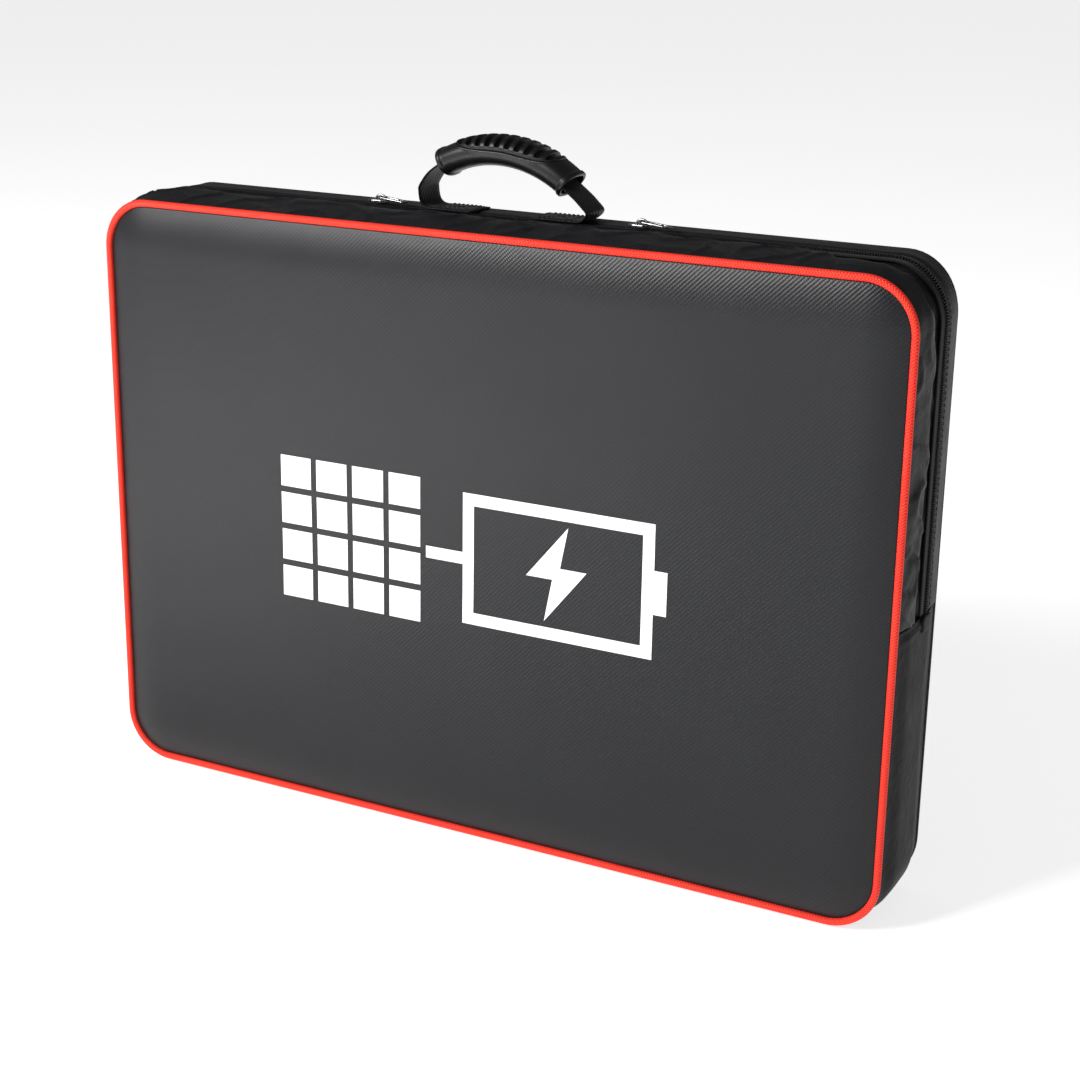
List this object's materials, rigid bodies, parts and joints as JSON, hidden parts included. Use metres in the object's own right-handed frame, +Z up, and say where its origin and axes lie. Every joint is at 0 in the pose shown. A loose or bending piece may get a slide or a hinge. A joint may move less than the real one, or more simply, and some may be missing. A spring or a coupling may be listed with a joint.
{
  "type": "folding solar blanket in its carrying case",
  "caption": "Zip-up soft carrying case with red piping and a moulded top handle, holding a folded solar blanket that lifts out and unfolds.",
  "frame": {"origin": "middle of the case's footprint on the floor, at the centre of the bounding box's bottom", "axes": "+X along the case's width, -Y out of the front face, +Z up"},
  "size_m": [0.6506, 0.0948, 0.5184],
  "materials": {
    "face_cloth": "charcoal twill, padded",
    "case_cloth": "black nylon, slight sheen",
    "foam_board": "closed-cell foam board",
    "lining_cloth": "smooth lining",
    "piping_cord": "bright red braided cord",
    "zip_tape_cloth": "woven tape",
    "zip_coil": "nylon coil",
    "zip_metal": "nickel plated",
    "webbing": "black woven webbing",
    "grip_plastic": "moulded, satin",
    "leaf_cloth": "coated cloth",
    "leaf_hem": "coated cloth, stitched",
    "leaf_core": "stiff foam core",
    "solar_cell": "dark blue silicon",
    "clear_film": "embossed clear film",
    "eyelet_metal": "satin",
    "box_plastic": "moulded"
  },
  "bodies": {
    "case": {"back_panel": "case_cloth", "back_board": "foam_board", "back_lining": "lining_cloth", "rear_gusset": "case_cloth", "lower_gusset": "case_cloth", "pocket_panel": "face_cloth", "pocket_board": "foam_board", "pocket_lining": "lining_cloth", "pocket_piping": "piping_cord", "rear_zip_tape": "zip_tape_cloth", "rear_zip_coil": "zip_coil", "zip_end_tabs": "zip_tape_cloth", "base_board": "foam_board", "base_pad": "foam_board", "handle_feet": "webbing"},
    "flap": {"flap_panel": "face_cloth", "flap_board": "foam_board", "flap_lining": "lining_cloth", "flap_piping": "piping_cord", "front_gusset": "case_cloth", "front_zip_tape": "zip_tape_cloth", "front_zip_coil": "zip_coil"},
    "slider_left": {"slider_left": "zip_metal"},
    "slider_right": {"slider_right": "zip_metal"},
    "pull_left": {"pull_left": "zip_metal"},
    "pull_right": {"pull_right": "zip_metal"},
    "handle": {"handle_grip": "grip_plastic", "grip_insert": "grip_plastic", "handle_legs": "webbing"},
    "rear_leaf": {"rear_leaf_backing": "leaf_cloth", "rear_leaf_core": "leaf_core", "rear_leaf_cells": "solar_cell", "rear_leaf_film": "clear_film", "rear_leaf_hem": "leaf_hem", "rear_leaf_eyelets": "eyelet_metal", "junction_box": "box_plastic", "junction_lid": "box_plastic", "outlet_gland": "box_plastic", "fold_spine": "leaf_cloth"},
    "front_leaf": {"front_leaf_backing": "leaf_cloth", "front_leaf_core": "leaf_core", "front_leaf_cells": "solar_cell", "front_leaf_film": "clear_film", "front_leaf_hem": "leaf_hem", "front_leaf_eyelets": "eyelet_metal"}
  },
  "joints": [
    {"name": "blanket_lift", "type": "slide", "parent": "case", "child": "rear_leaf", "axis": [0, 0, 1], "range_m": [0, 0.6]},
    {"name": "flap_fold", "type": "hinge", "parent": "case", "child": "flap", "pos_m": [0, -0.0479, 0.222], "axis": [1, 0, 0], "range_deg": [0, 150]},
    {"name": "leaf_fold", "type": "hinge", "parent": "rear_leaf", "child": "front_leaf", "pos_m": [0, -0.0087, 0.017], "axis": [1, 0, 0], "range_deg": [0, 180]},
    {"name": "slider_left_run", "type": "slide", "parent": "case", "child": "slider_left", "axis": [-1, 0, 0], "range_m": [0, 0.155]},
    {"name": "slider_right_run", "type": "slide", "parent": "case", "child": "slider_right", "axis": [1, 0, 0], "range_m": [0, 0.165]},
    {"name": "pull_left_swing", "type": "hinge", "parent": "slider_left", "child": "pull_left", "pos_m": [-0.112, 0.018, 0.4674], "axis": [0, -1, 0], "range_deg": [0, 160]},
    {"name": "pull_right_swing", "type": "hinge", "parent": "slider_right", "child": "pull_right", "pos_m": [0.101, 0.018, 0.4674], "axis": [0, -1, 0], "range_deg": [0, 160]},
    {"name": "handle_tilt", "type": "hinge", "parent": "case", "child": "handle", "pos_m": [0, 0.0286, 0.466], "axis": [-1, 0, 0], "range_deg": [-5, 35]}
  ],
  "couplings": [
    {"joint": "flap_fold", "follows": "blanket_lift", "rad_per_m": 4.3633},
    {"joint": "leaf_fold", "follows": "blanket_lift", "rad_per_m": 1.5708}
  ]
}
